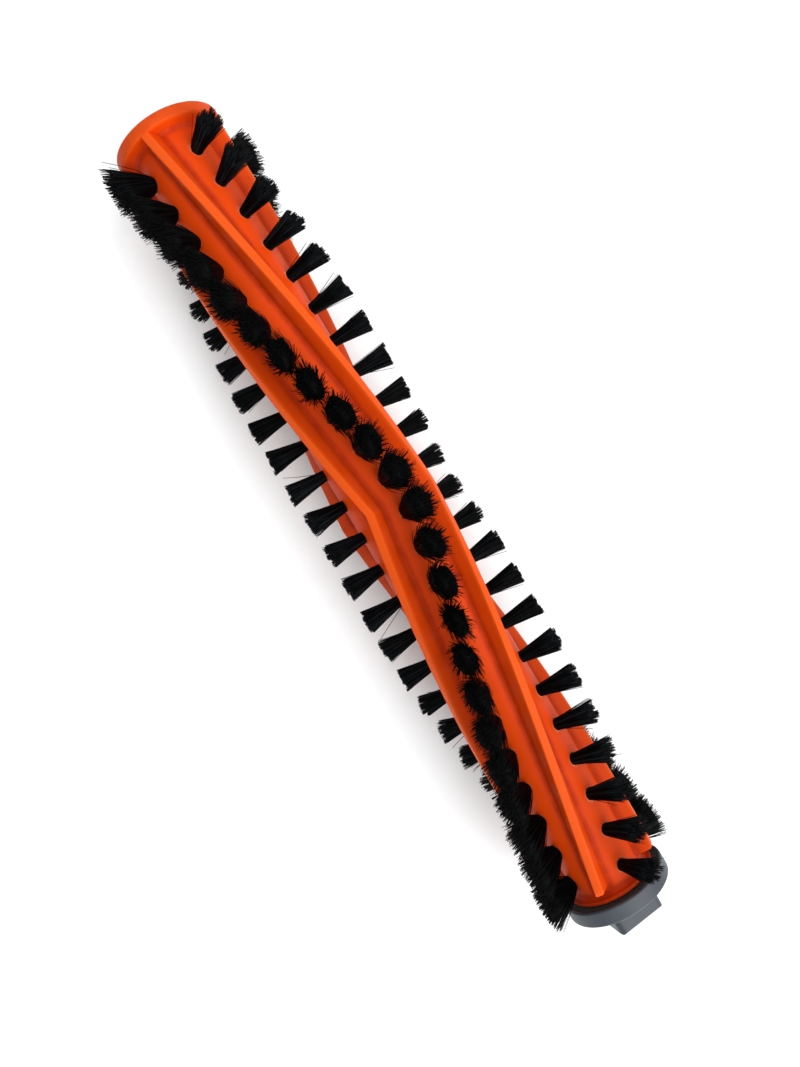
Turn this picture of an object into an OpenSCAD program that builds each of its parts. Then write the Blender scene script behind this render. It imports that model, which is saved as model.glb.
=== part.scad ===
// Vacuum roller brush: a moulded core with four chevron ribs and four chevron
// rows of bristle tufts, a drive socket in the flange end, and a bearing cap
// with a square stub that turns freely at the other end.
// The roller's axis is X. The origin is the centre of the drive socket's mouth,
// in the flange's end face, and the cap is at the far end, towards +X.

/* [Core] */
// Length of the moulded core, from the flange's end face to the end lip
core_len = 265; // [205:1:330]
// Radius of the land between the ribs
core_r = 12; // [11:0.5:15]
// How far the flange at the drive end stands over the rib crests
flange_rise = 0.4; // [0:0.1:3]
// Thickness of the flange
flange_t = 3.4; // [2:0.1:6]
// Rounding of the flange's edges
flange_round = 0.5; // [0.2:0.1:0.9]
// Height of the lip at the cap end over the land
lip_h = 2.2; // [1.8:0.1:3]
// Width of the lip along the axis
lip_w = 1.1; // [0.8:0.1:2]
// Radius of the coves beside the flange and the lip
cove_r = 1.4; // [0.8:0.1:2]

/* [Ribs] */
// Height of the rib crests over the land
rib_h = 4.9; // [3:0.1:7]
// Width of the rib crest
rib_w = 2.7; // [1.6:0.1:4]
// Radius of the cove at the rib's root
rib_cove = 1; // [0.6:0.1:2.4]
// Extra half width of the rib at its root, for draft
rib_draft = 1; // [0.2:0.1:1.2]
// Distance from the end of the ribs to the end of the core
rib_gap = 3.8; // [2.5:0.1:8]
// Angle from a tuft row to the rib beside it
rib_offset = 48.5; // [35:0.5:55]

/* [Chevron] */
// Length along the axis in which a rib or row would make a full turn
chevron_lead = 525; // [400:5:900]
// Angle of the first row at the chevron's point, from the top towards +Y
row_angle = 20; // [0:0.1:90]
// Softening of the chevron's point, along the axis
apex_soft = 0.6; // [0.5:0.1:6]

/* [Bristles] */
// Distance between tufts along a row
tuft_pitch = 11.2; // [9:0.1:16]
// Distance from the flange's end face to the first tuft
first_tuft = 12.1; // [10:0.1:20]
// Least distance from the last tuft to the end of the core
last_tuft_gap = 6.4; // [5:0.1:12]
// Radius of the tuft holes
hole_r = 1.7; // [1.2:0.1:2.2]
// Depth of the tuft holes
hole_depth = 6; // [4:0.1:6.4]
// Chamfer round the mouth of a tuft hole
hole_edge = 0.3; // [0.1:0.05:0.4]
// Length of the bristles over the land, as trimmed
bristle_len = 12.9; // [8:0.1:18]
// Angle that tufts and their holes lean from the radius, towards the next row
tuft_lean = 8; // [-12:0.5:12]
// Radius of a tuft at its tip
tuft_tip_r = 3.6; // [2:0.1:4.2]
// How far the bristles under the roller give when it lies on a floor
floor_press = 0.3; // [0.1:0.05:0.8]
// Thickness of the anchor plate that holds a tuft in its hole
anchor_t = 0.4; // [0.3:0.05:0.6]
// Height of an anchor plate
anchor_h = 1.6; // [1:0.1:2]

/* [Drive end] */
// Outer radius of the drive insert
insert_r = 9; // [8.4:0.1:9.6]
// Length of the drive insert, which the drive socket runs through
insert_len = 9.6; // [8:0.1:9.8]
// Radius of the drive socket
socket_r = 6; // [5:0.1:6.4]
// Width of a drive groove in the socket
groove_w = 2; // [1.2:0.1:2]
// Depth of a drive groove in the socket
groove_depth = 1.2; // [0.6:0.1:1.4]
// Width of the keys that lock the insert in the core
key_w = 2.4; // [1.6:0.1:3]
// Height of those keys
key_h = 1; // [0.6:0.1:1.2]

/* [Axle and bearing] */
// Radius of the axle, and of the bearing's bore
axle_r = 3; // [2.5:0.1:3]
// Outer radius of the bearing
bearing_r = 6.5; // [6.5:0.1:7.8]
// Width of the bearing
bearing_w = 5; // [4.6:0.1:6]
// Radius of a bearing ball
ball_r = 1.1; // [0.9:0.05:1.1]
// Number of balls
ball_count = 8; // [6:1:8]
// Thickness of the thrust washer
washer_t = 0.7; // [0.4:0.1:1.2]
// Thickness of the retaining ring
ring_t = 0.6; // [0.4:0.1:1]

/* [End cap] */
// How far the cap's rim stands over the rib crests
cap_rise = 0.2; // [0:0.1:3]
// Length of the rim along the axis
rim_len = 4.8; // [4:0.1:8]
// Thickness of the rim's wall
rim_wall = 0.9; // [0.7:0.1:1.6]
// Depth of the recess in the cap's face
recess = 2.1; // [1.5:0.1:2.6]
// Rounding of the rim's edges
cap_round = 0.5; // [0.2:0.1:0.6]
// Side of the square stub
stub_side = 16; // [15.6:0.1:20]
// Radius of the stub's corners
stub_corner = 2.2; // [1:0.1:4]
// Length of the stub
stub_len = 8.1; // [7:0.1:12]
// Chamfer round the end of the stub
stub_edge = 0.4; // [0.2:0.1:0.8]
// Angle that the cap is turned to at rest, from the top towards +Y
cap_turn = 12.5; // [0:0.5:90]
// Gap between the turning core and the cap
running_gap = 0.3; // [0.2:0.05:0.6]

/* [Fit] */
// Clearance round pieces that are pressed or packed together
fit_gap = 0.05; // [0.02:0.01:0.1]

/* [Hidden] */
$fn = 64;

rows = 4;
row_step = 360 / rows;
edge_round = 0.4;
arc_steps = 4;
cove_steps = 3;
// How far cutting shapes run past a surface, and joined ones into each other
over = 1;

// Round the axis: ribs, flange, lip, bristle tips and cap
rib_r = core_r + rib_h;
flange_r = rib_r + flange_rise;
lip_r = core_r + lip_h;
tip_r = core_r + bristle_len;
cap_r = rib_r + cap_rise;

// Along the axis: ribs, tufts and the chevron's point
rib_end = core_len - rib_gap;
rib_start = flange_t / 2;
apex_x = rib_end / 2;
tuft_count = floor((core_len - first_tuft - last_tuft_gap) / tuft_pitch) + 1;

// The core's boss that the bearing is stacked on, and the axle's end with its ring
hub_len = 1;
hub_wall = 1.1;
axle_tail = 1.2;
ring_groove = 0.5;
ring_rise = 1.2;

// Along the axis: what is stacked at the cap end
cap_x = core_len + running_gap;
hub_x = core_len + hub_len;
hub_r = axle_r + hub_wall;
race_x = hub_x + washer_t + 2 * fit_gap;
bearing_mid = race_x + bearing_w / 2;
bearing_end = race_x + bearing_w;
ring_x = bearing_end + fit_gap;
axle_end = ring_x + ring_t + axle_tail;
cap_end = cap_x + rim_len;
stub_end = cap_end + stub_len;

// Inside the tuft holes
anchor_lift = 1;
slot_len = 3 * hole_r;

// Inside the bearing
pitch_r = (axle_r + bearing_r) / 2;
groove_r = ball_r + fit_gap;
shoulder = 0.6;
inner_shoulder = pitch_r - shoulder;
outer_shoulder = pitch_r + shoulder;
shield_t = 0.4;
shield_in = 0.2;
shield_seat = 0.4;
cage_t = 0.6;
cage_play = 0.2;
cage_w = bearing_w - 2 * (shield_t + shield_in + cage_play);

// Inside the cap
clip_room = 1.8;
bearing_stop = 1.4;
cap_hub_r = bearing_r + 2.4;
cap_hub_x = cap_x + recess / 2;
cap_floor = cap_x + recess;
seal_gap = 0.2;

ORANGE = [0.93, 0.33, 0.1];
CAP_GREY = [0.38, 0.41, 0.44];
STEEL = [0.72, 0.73, 0.75];
BRISTLE = [0.04, 0.04, 0.05];
FELT = [0.1, 0.09, 0.09];
NYLON = [0.16, 0.17, 0.18];

// Places things that are drawn along +Z at x, turned to an angle from the top towards +Y
module at_angle(x, angle) {
    translate([x, 0, 0]) rotate([-angle, 0, 0]) children();
}

// A cylinder along the roller's axis
module along_x(x, len, r) {
    translate([x, 0, 0]) rotate([0, 90, 0]) cylinder(h = len, r = r);
}

// Turns a profile, drawn as [radius, x], round the roller's axis
module turned(profile) {
    rotate([0, 90, 0]) rotate_extrude() polygon(profile);
}

// A flat ring along the roller's axis
module ring(x, len, r_in, r_out) {
    turned([[r_in, x], [r_out, x], [r_out, x + len], [r_in, x + len]]);
}

// Points of an arc, drawn as [radius, x]
function arc(cr, cx, r, from, to) =
    [for (i = [0:arc_steps]) let (a = from + (to - from) * i / arc_steps)
        [cr + r * cos(a), cx + r * sin(a)]];

// How far the chevron has turned at x, which is nothing at its point
function chevron(x) =
    -360 / chevron_lead * (sqrt(pow(x - apex_x, 2) + pow(apex_soft, 2)) - apex_soft);

function row_at(row, x) = row_angle + row * row_step + chevron(x);
function rib_at(rib, x) = row_at(rib, x) + rib_offset;
function tuft_x(i) = first_tuft + i * tuft_pitch;

// Places things that are drawn along +Z at a tuft, leaning about its root on the land
module at_tuft(row, i) {
    at_angle(tuft_x(i), row_at(row, tuft_x(i)))
        translate([0, 0, core_r]) rotate([-tuft_lean, 0, 0]) translate([0, 0, -core_r])
            children();
}

// How far a cove's foot stands over the land, and how deep a rib goes into the core
cove_foot = 0.12;
rib_sink = 1.8;

// Half of the rib's section as [across, radius], from its crest down into the core
function rib_half(crest) = let (
        half = rib_w / 2,
        root = half + rib_draft,
        cove_x = root + rib_cove,
        cove_y = sqrt(pow(core_r, 2) - pow(cove_x, 2)) + rib_cove + cove_foot
    ) concat(
        [[half - edge_round, crest], [half, crest - edge_round]],
        [for (i = [0:cove_steps]) let (a = 180 + 90 * i / cove_steps)
            [cove_x + rib_cove * cos(a), cove_y + rib_cove * sin(a)]],
        [[cove_x, core_r - rib_sink]]
    );

// The whole section, across the crest and back
function rib_section(crest) = let (half = rib_half(crest), n = len(half)) concat(
        half,
        [for (i = [n - 1:-1:0]) [-half[i][0], half[i][1]]]
    );

// Places along a rib: close together at the chevron's point and at the rounded end
rib_steps = 20;
end_round = 1.2;
even_share = 0.22;
rib_stations = concat(
    [for (i = [-rib_steps:rib_steps])
        let (t = abs(i) / rib_steps, s = even_share * t + (1 - even_share) * t * t)
        i < 0 ? apex_x - (apex_x - rib_start) * s
              : apex_x + (rib_end - end_round - apex_x) * s],
    [for (a = [30, 60, 90]) rib_end - end_round + end_round * sin(a)]
);

// The crest comes down in an arc where the rib ends
function crest_at(x) = let (into = max(0, x - rib_end + end_round))
    rib_r - end_round * (1 - cos(asin(min(1, into / end_round))));

function on_rib(rib, x, p) = let (a = rib_at(rib, x))
    [x, p[1] * sin(a) + p[0] * cos(a), p[1] * cos(a) - p[0] * sin(a)];

module rib(rib) {
    n = len(rib_section(rib_r));
    last = len(rib_stations) - 1;
    points = [for (x = rib_stations, p = rib_section(crest_at(x))) on_rib(rib, x, p)];
    sides = [for (k = [0:last - 1], i = [0:n - 1])
        let (a = k * n + i, b = k * n + (i + 1) % n)
        each [[a, b, a + n], [b, b + n, a + n]]];
    ends = [for (i = [0:n / 2 - 2]) let (face = [i, i + 1, n - 2 - i, n - 1 - i])
        each [[for (j = [3:-1:0]) face[j]], [for (j = [0:3]) last * n + face[j]]]];
    polyhedron(points, concat(sides, ends), convexity = 6);
}

// The core's turned outline: flange, land, lip and the boss that faces the bearing
core_profile = concat(
    [[0, 0]],
    arc(flange_r - flange_round, flange_round, flange_round, 270, 360),
    arc(flange_r - flange_round, flange_t - flange_round, flange_round, 0, 90),
    arc(core_r + cove_r, flange_t + cove_r, cove_r, 270, 180),
    arc(core_r + cove_r, core_len - lip_w - cove_r, cove_r, 180, 90),
    [[lip_r - edge_round / 2, core_len - lip_w], [lip_r, core_len - lip_w + edge_round / 2]],
    [[lip_r, core_len - edge_round / 2], [lip_r - edge_round / 2, core_len]],
    [[hub_r, core_len], [hub_r, hub_x], [0, hub_x]]
);

// Two keys on the insert, or the slots for them when grown by a gap
module insert_keys(gap) {
    for (side = [0, 180])
        at_angle(0, side)
            translate([0, -key_w / 2 - gap, insert_r - over])
                cube([insert_len + gap, key_w + 2 * gap, over + key_h + gap]);
}

// A blind hole with a chamfered mouth, drawn along +Z
module tuft_hole() {
    translate([0, 0, core_r - hole_depth]) cylinder(h = hole_depth + over, r = hole_r);
    translate([0, 0, core_r - hole_edge])
        cylinder(h = hole_edge + over, r1 = hole_r, r2 = hole_r + hole_edge + over);
}

module core() {
    color(ORANGE) difference() {
        union() {
            turned(core_profile);
            for (i = [0:rows - 1]) rib(i);
        }
        for (row = [0:rows - 1], i = [0:tuft_count - 1])
            at_tuft(row, i) tuft_hole();
        along_x(-over, insert_len + over + fit_gap, insert_r);
        translate([-over, 0, 0]) insert_keys(fit_gap);
        insert_keys(fit_gap);
        along_x(insert_len, core_len, axle_r);
    }
}

module drive_insert() {
    color(NYLON) difference() {
        union() {
            along_x(0, insert_len, insert_r);
            insert_keys(0);
        }
        along_x(-over, insert_len + 2 * over, socket_r);
        for (a = [45:90:315])
            at_angle(-over, a)
                translate([0, -groove_w / 2, 0])
                    cube([insert_len + 2 * over, groove_w, socket_r + groove_depth]);
    }
}

module axle() {
    groove_floor = axle_r - ring_groove;
    chamfer = 0.4;
    color(STEEL) turned([
        [0, insert_len + fit_gap], [axle_r - chamfer, insert_len + fit_gap],
        [axle_r, insert_len + fit_gap + chamfer],
        [axle_r, ring_x], [groove_floor, ring_x],
        [groove_floor, ring_x + ring_t + fit_gap], [axle_r, ring_x + ring_t + fit_gap],
        [axle_r, axle_end - chamfer], [axle_r - chamfer, axle_end], [0, axle_end]
    ]);
}

// An anchor plate of a given length, or the slot for it when grown by a gap
module anchor_plate(len, gap) {
    translate([-len / 2, -anchor_t / 2 - gap, core_r - hole_depth + anchor_lift - gap])
        cube([len, anchor_t + 2 * gap, anchor_h + 2 * gap]);
}

module tuft() {
    bottom = core_r - hole_depth + 2 * fit_gap;
    root = hole_r - fit_gap;
    overrun = 1.5;
    free = tip_r - core_r;
    difference() {
        union() {
            translate([0, 0, bottom]) cylinder(h = core_r - bottom, r = root);
            translate([0, 0, core_r])
                cylinder(h = free + overrun, r1 = root,
                    r2 = root + (tuft_tip_r - root) * (free + overrun) / free);
        }
        anchor_plate(slot_len, fit_gap);
    }
}

// What the trimming knife leaves, with a flat where the roller lies on the floor
module trimmed_space() {
    low = tip_r - floor_press;
    difference() {
        along_x(-over, core_len + 2 * over, tip_r);
        translate([-2 * over, -tip_r, -low - tip_r])
            cube([core_len + 4 * over, 2 * tip_r, tip_r]);
    }
}

module bristle_row(row) {
    color(BRISTLE) intersection() {
        for (i = [0:tuft_count - 1])
            at_tuft(row, i) tuft();
        trimmed_space();
    }
}

module anchor_row(row) {
    color(STEEL)
        for (i = [0:tuft_count - 1])
            at_tuft(row, i) anchor_plate(2 * (hole_r - fit_gap), 0);
}

module thrust_washer() {
    color(STEEL) ring(hub_x + fit_gap, washer_t, axle_r + fit_gap, hub_r);
}

// The track that the balls run in, drawn as a ring of the groove's radius
module ball_track() {
    translate([bearing_mid, 0, 0]) rotate([0, 90, 0]) rotate_extrude()
        translate([pitch_r, 0]) circle(r = groove_r);
}

module bearing_inner_race() {
    color(STEEL) difference() {
        ring(race_x, bearing_w, axle_r, inner_shoulder);
        ball_track();
    }
}

module bearing_outer_race() {
    seat = shield_in + shield_t + fit_gap;
    color(STEEL) difference() {
        ring(race_x, bearing_w, outer_shoulder, bearing_r);
        ball_track();
        ring(race_x - over, seat + over, pitch_r, outer_shoulder + shield_seat);
        ring(bearing_end - seat, seat + over, pitch_r, outer_shoulder + shield_seat);
    }
}

module balls_at(r) {
    for (i = [0:ball_count - 1])
        at_angle(bearing_mid, i * 360 / ball_count) translate([0, 0, pitch_r]) sphere(r = r);
}

module bearing_balls() {
    color(STEEL) balls_at(ball_r);
}

module bearing_cage() {
    color(NYLON) difference() {
        ring(bearing_mid - cage_w / 2, cage_w, pitch_r - cage_t / 2, pitch_r + cage_t / 2);
        balls_at(ball_r + 2 * fit_gap);
    }
}

module shield(x) {
    color(STEEL)
        ring(x, shield_t, inner_shoulder + 2 * fit_gap, outer_shoulder + shield_seat - fit_gap);
}

module retaining_ring() {
    mouth = 3.2;
    color(STEEL) difference() {
        ring(ring_x, ring_t, axle_r - ring_groove + fit_gap, axle_r + ring_rise);
        translate([ring_x - over, -mouth / 2, 0]) cube([ring_t + 2 * over, mouth, bearing_r]);
    }
}

module dust_seal() {
    color(FELT)
        ring(cap_x + seal_gap, recess - seal_gap, cap_hub_r + seal_gap,
            cap_r - rim_wall - seal_gap);
}

// A square with rounded corners, across the roller's axis
module stub_outline() {
    core_side = stub_side - 2 * stub_corner;
    square([stub_side, core_side], center = true);
    square([core_side, stub_side], center = true);
    for (sx = [-1, 1], sy = [-1, 1])
        translate([sx * core_side / 2, sy * core_side / 2]) circle(r = stub_corner);
}

// What a side view of the stub leaves: its end has a chamfer on both edges
module stub_view() {
    half = stub_side / 2;
    shoulder_z = stub_len - stub_edge - over;
    rotate([90, 0, 0]) linear_extrude(height = stub_side + 2 * over, center = true)
        polygon([
            [-half - over, -over], [half + over, -over], [half + over, shoulder_z],
            [half - stub_edge, stub_len], [stub_edge - half, stub_len],
            [-half - over, shoulder_z]
        ]);
}

// The square stub, drawn along +Z from the cap's face and rooted in it
module stub() {
    intersection() {
        translate([0, 0, -over]) linear_extrude(height = stub_len + 2 * over) stub_outline();
        stub_view();
        rotate([0, 0, 90]) stub_view();
    }
}

// The cap's turned outline: hub, recess, rim with rounded edges, and end face
cap_profile = concat(
    [[0, cap_hub_x], [cap_hub_r, cap_hub_x], [cap_hub_r, cap_floor]],
    [[cap_r - rim_wall, cap_floor], [cap_r - rim_wall, cap_x]],
    arc(cap_r - cap_round, cap_x + cap_round, cap_round, 270, 360),
    arc(cap_r - cap_round, cap_end - cap_round, cap_round, 0, 90),
    [[0, cap_end]]
);

module end_cap() {
    color(CAP_GREY) difference() {
        union() {
            turned(cap_profile);
            translate([cap_end, 0, 0]) rotate([-cap_turn, 0, 0]) rotate([0, 90, 0]) stub();
        }
        along_x(cap_x, bearing_end - cap_x, bearing_r);
        along_x(bearing_end - over, over + ring_t + clip_room, bearing_r - bearing_stop);
    }
}

core();
drive_insert();
axle();
bristle_row(0);  // bristle_row_1
bristle_row(1);  // bristle_row_2
bristle_row(2);  // bristle_row_3
bristle_row(3);  // bristle_row_4
anchor_row(0);  // anchor_row_1
anchor_row(1);  // anchor_row_2
anchor_row(2);  // anchor_row_3
anchor_row(3);  // anchor_row_4
thrust_washer();
bearing_inner_race();
bearing_outer_race();
bearing_balls();
bearing_cage();
shield(race_x + shield_in);  // bearing_shield_inner
shield(bearing_end - shield_in - shield_t);  // bearing_shield_outer
retaining_ring();
dust_seal();
end_cap();
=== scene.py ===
import math

import bpy
import bmesh
import numpy as np
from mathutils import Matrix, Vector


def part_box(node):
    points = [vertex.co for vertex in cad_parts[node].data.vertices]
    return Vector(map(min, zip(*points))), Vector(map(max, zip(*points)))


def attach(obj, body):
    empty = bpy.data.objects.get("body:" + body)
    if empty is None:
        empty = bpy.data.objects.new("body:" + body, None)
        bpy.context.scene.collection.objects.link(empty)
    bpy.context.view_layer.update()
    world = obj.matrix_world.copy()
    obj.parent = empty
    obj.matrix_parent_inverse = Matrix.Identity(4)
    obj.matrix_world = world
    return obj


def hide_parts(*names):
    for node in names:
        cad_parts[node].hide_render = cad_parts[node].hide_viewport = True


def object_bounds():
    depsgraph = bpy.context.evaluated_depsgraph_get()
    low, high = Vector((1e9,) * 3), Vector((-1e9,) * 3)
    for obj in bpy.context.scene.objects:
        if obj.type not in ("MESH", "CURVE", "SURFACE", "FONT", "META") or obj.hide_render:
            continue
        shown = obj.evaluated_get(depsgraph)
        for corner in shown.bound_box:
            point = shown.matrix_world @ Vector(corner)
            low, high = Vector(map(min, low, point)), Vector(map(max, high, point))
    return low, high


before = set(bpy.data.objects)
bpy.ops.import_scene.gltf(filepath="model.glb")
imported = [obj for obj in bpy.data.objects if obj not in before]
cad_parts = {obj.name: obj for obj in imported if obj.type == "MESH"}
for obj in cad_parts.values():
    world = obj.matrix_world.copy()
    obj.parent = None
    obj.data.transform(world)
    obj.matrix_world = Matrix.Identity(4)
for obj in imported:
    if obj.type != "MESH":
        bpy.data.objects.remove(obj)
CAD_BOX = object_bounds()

from types import SimpleNamespace
from bpy.props import FloatProperty, FloatVectorProperty, IntProperty, PointerProperty
from mathutils import Matrix, Vector

bl_info = {
    "name": "Vacuum roller brush",
    "version": (1, 0, 0),
    "blender": (4, 5, 0),
    "location": "3D View > Sidebar > Roller brush",
    "description": "Models the finish, the moulded core and the bristles of a vacuum roller brush",
    "category": "Add Mesh",
}

MM = 0.001
ROWS = 4
ROW_STEP = 360 / ROWS
GOLDEN_TURN = math.pi * (3 - math.sqrt(5))


# Sizes and colours that a user would change

def length(name, description, mm):
    return FloatProperty(name=name, description=description, default=mm * MM, unit="LENGTH")


def colour(name, description, rgb):
    return FloatVectorProperty(name=name, description=description, default=rgb, size=3,
                               subtype="COLOR", min=0.0, max=1.0)


class RollerSizes(bpy.types.PropertyGroup):
    land_radius: length("Land radius", "Radius of the core between its ribs", 12.0)
    core_length: length("Core length", "Length of the core up to its end lip",
                        (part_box("core")[1][0] / MM) - 1.0)
    flange_thickness: length("Flange thickness", "Thickness of the flange", 3.4)
    flange_rise: length("Flange rise", "How far the flange stands over the rib crests", 0.4)
    lip_height: length("Lip height", "Height of the end lip over the land", 2.2)
    lip_width: length("Lip width", "Width of the end lip along the axis", 1.1)
    cove: length("Cove", "Radius of the coves beside the flange and the lip", 1.4)
    rib_height: length("Rib height", "Height of the rib crests over the land", 4.9)
    rib_width: length("Rib width", "Width of a rib's crest", 2.7)
    rib_draft: length("Rib draft", "Extra half width of a rib at its foot", 1.0)
    rib_cove: length("Rib cove", "Radius of the cove at a rib's foot", 1.0)
    rib_gap: length("Rib gap", "From the end of the ribs to the end of the core", 3.8)
    rib_end_round: length("Rib end", "Rounding of a rib's crest where it ends", 1.2)
    rib_offset: FloatProperty(name="Rib offset", description="Angle from a tuft row to its rib",
                              default=math.radians(48.5), subtype="ANGLE")
    chevron_lead: length("Chevron lead", "Length in which a row would make a full turn", 525.0)
    row_angle: FloatProperty(name="Row angle", description="First row's angle at the point",
                             default=math.radians(20.0), subtype="ANGLE")
    apex_soft: length("Point softness", "Softening of the chevron's point", 0.2)
    apex_back: length("Point set back", "How far the chevron's point is drawn back", 0.6)
    hole_radius: length("Hole radius", "Radius of the tuft holes", 1.7)
    hole_depth: length("Hole depth", "Depth of the tuft holes", 6.0)
    hole_chamfer: length("Hole chamfer", "Broken edge round each tuft hole", 0.3)
    tuft_pitch: length("Tuft pitch", "Distance between tufts along a row", 11.2)
    tuft_lean: FloatProperty(name="Tuft lean", description="How far tufts lean to the next row",
                             default=math.radians(8.0), subtype="ANGLE")
    first_tuft: length("First tuft", "From the flange's end face to the first tuft", 12.1)
    tufts: IntProperty(name="Tufts", description="Tufts in a row", default=23, min=1)
    insert_radius: length("Insert radius", "Radius of the drive insert", 9.0)
    insert_length: length("Insert length", "Length of the drive insert", 9.6)
    key_width: length("Key width", "Width of the insert's keys", 2.4)
    key_height: length("Key height", "Height of the insert's keys", 1.0)
    axle_radius: length("Axle radius", "Radius of the axle", 3.0)
    hub_rise: length("Hub rise", "Height of the core's hub over its end", 1.0)
    fit_gap: length("Fit gap", "Clearance round packed pieces", 0.05)


class BristleLook(bpy.types.PropertyGroup):
    reach: length("Reach", "Length of the bristles over the land", 12.9)
    filament: length("Filament radius", "Radius of one filament", 0.12)
    count: IntProperty(name="Filaments", description="Filaments in a tuft", default=400, min=1)
    along: length("Spread along", "Half width of a tuft's tip along the roller", 3.6)
    across: length("Spread across", "Half width of a tuft's tip across the row", 4.2)
    worn_along: length("Worn spread along", "The same in the soft rows, at mid length", 5.9)
    worn_across: length("Worn spread across", "The same across them, where narrowest", 3.7)
    worn_ends: length("Worn ends", "How much longer the soft rows' end tufts are", 1.5)
    worn_flare: length("Worn flare", "How much wider across they grow from there", 1.25)
    worn_waist: FloatProperty(name="Worn waist", description="Where they are narrowest, from "
                              "-1 at the flange to 1 at the cap", default=0.3, min=-1.0, max=1.0)
    worn_swing: length("Worn swing", "How far the soft rows' end tufts lean aside", 1.6)
    fringe: FloatProperty(name="Fringe", description="How far the rim's points stand out",
                          default=0.16, min=0.0, max=1.0, subtype="FACTOR")
    worn_fringe: FloatProperty(name="Worn fringe", description="The same in the soft rows",
                               default=0.45, min=0.0, max=1.0, subtype="FACTOR")
    ragged: length("Raggedness", "Spread of the filaments' lengths", 0.24)
    heart: FloatProperty(name="Heart", description="Share of a tuft that is packed solid",
                         default=0.84, min=0.0, max=1.0, subtype="FACTOR")
    heart_top: FloatProperty(name="Heart top", description="Share of the length that is solid",
                             default=0.78, min=0.0, max=1.0, subtype="FACTOR")
    worn_heart: FloatProperty(name="Worn heart", description="Solid share in the soft rows",
                              default=0.84, min=0.0, max=1.0, subtype="FACTOR")
    worn_heart_top: FloatProperty(name="Worn heart top", description="Its share of the length",
                                  default=0.88, min=0.0, max=1.0, subtype="FACTOR")
    bundles: IntProperty(name="Bundles", description="Bundles that a tuft's tip parts into",
                         default=16, min=1)
    worn_bundles: IntProperty(name="Worn bundles", description="The same in the soft rows",
                              default=26, min=1)
    jagged: length("Jagged ends", "How far some bundles fall short", 1.1)
    worn_jagged: length("Worn jagged ends", "The same in the soft rows", 0.6)
    splay: FloatProperty(name="Splay", description="1 spreads evenly, more keeps to the tip",
                         default=1.15, min=0.2)
    worn_splay: FloatProperty(name="Worn splay", description="The same in the soft rows",
                              default=0.75, min=0.2)
    stray: FloatProperty(name="Strays", description="Share of filaments that stand out",
                         default=0.035, min=0.0, max=1.0, subtype="FACTOR")
    seed: IntProperty(name="Seed", description="Seed of the bristles' chance", default=7)


class FinishColours(bpy.types.PropertyGroup):
    orange: colour("Orange", "Moulded plastic of the core", (0.6, 0.047, 0.0012))
    # Painted shade, mottled like settled dust: the dark red laid into the corners, round the tuft
    # mouths, over the lip and on the flange's rim
    shade_and_grime: colour("Grime", "Tint where dust has settled", (0.26, 0.011, 0.0008))
    # Painted highlight: a paler, yellower orange over the rib crests and the flange, the way lit
    # plastic looks
    rubbed_and_highlight: colour("Rubbed", "Raised edges that have been rubbed paler", (0.62, 0.076, 0.006))
    # On the edges of the tuft holes this pale colour is a painted highlight; elsewhere it paints
    # real scuffs
    chalky: colour("Chalky", "Scuffs, and the edges of the tuft holes", (0.75, 0.3, 0.16))
    grey: colour("Grey", "Moulded plastic of the cap", (0.038, 0.046, 0.057))
    black: colour("Black", "Nylon of the drive insert and the ball cage", (0.018, 0.018, 0.02))
    bristle: colour("Bristle", "Nylon of the bristles", (0.0008, 0.0009, 0.0011))
    # Painted glints: this bluish grey stands for the sky's reflection on some of the filaments
    glint_streak: colour("Streak", "The paler filaments among them", (0.04, 0.05, 0.06))
    # A dust seal whose dark brown also stands in for painted shade in the gap between the core's
    # end and the cap
    felt: colour("Felt", "Dust seal", (0.018, 0.013, 0.01))
    steel: colour("Steel", "Axle, bearing and rings", (0.56, 0.57, 0.59))


class StageLook(bpy.types.PropertyGroup):
    camera_place: FloatVectorProperty(name="Camera place", description="Where the camera stands",
                                      default=(0.1366, -0.00393, 0.25833), size=3,
                                      subtype="TRANSLATION", unit="LENGTH")
    camera_turn: FloatVectorProperty(name="Camera turn", description="Turn about X, Y and Z",
                                     default=(math.radians(-0.33), math.radians(-0.93),
                                              math.radians(58.97)), size=3, subtype="EULER")
    focal: FloatProperty(name="Focal length", description="Lens on a 36 mm sensor",
                         default=28.2, unit="CAMERA")
    softness: FloatProperty(name="Softness", description="How wide each lamp looks",
                            default=math.radians(60), subtype="ANGLE")
    key_level: FloatProperty(name="Key", description="Low lamp beyond the cap end", default=3.3)
    side_level: FloatProperty(name="Side", description="Higher lamp at the side", default=1.8)
    fill_level: FloatProperty(name="Fill", description="Lamp beyond the drive end", default=0.8)
    sky_level: FloatProperty(name="Sky", description="Even light all round", default=0.52)
    backdrop: FloatProperty(name="Backdrop", description="How pale the backdrop looks",
                            default=1.0)


def settings(context):
    scene = context.scene
    return scene.roller_sizes, scene.roller_bristles, scene.roller_colours, scene.roller_stage


# Shader nodes

class Wire:
    """A node's output that takes part in sums; each sum adds its Math node."""

    def __init__(self, finish, socket):
        self.finish = finish
        self.socket = socket

    def maths(self, operation, *values):
        return self.finish.node("ShaderNodeMath", {"operation": operation},
                                dict(enumerate(values)))

    def __add__(self, other):
        return self.maths("ADD", self, other)

    __radd__ = __add__

    def __mul__(self, other):
        return self.maths("MULTIPLY", self, other)

    __rmul__ = __mul__

    def __sub__(self, other):
        return self.maths("SUBTRACT", self, other)

    def __rsub__(self, other):
        return self.maths("SUBTRACT", other, self)

    def __pow__(self, other):
        return self.maths("POWER", self, other)

    def clamped(self, low, high):
        """0 at low, 1 at high, smooth between."""
        return self.finish.node("ShaderNodeMapRange", {"interpolation_type": "SMOOTHSTEP"},
                                {0: self, 1: low, 2: high})


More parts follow.
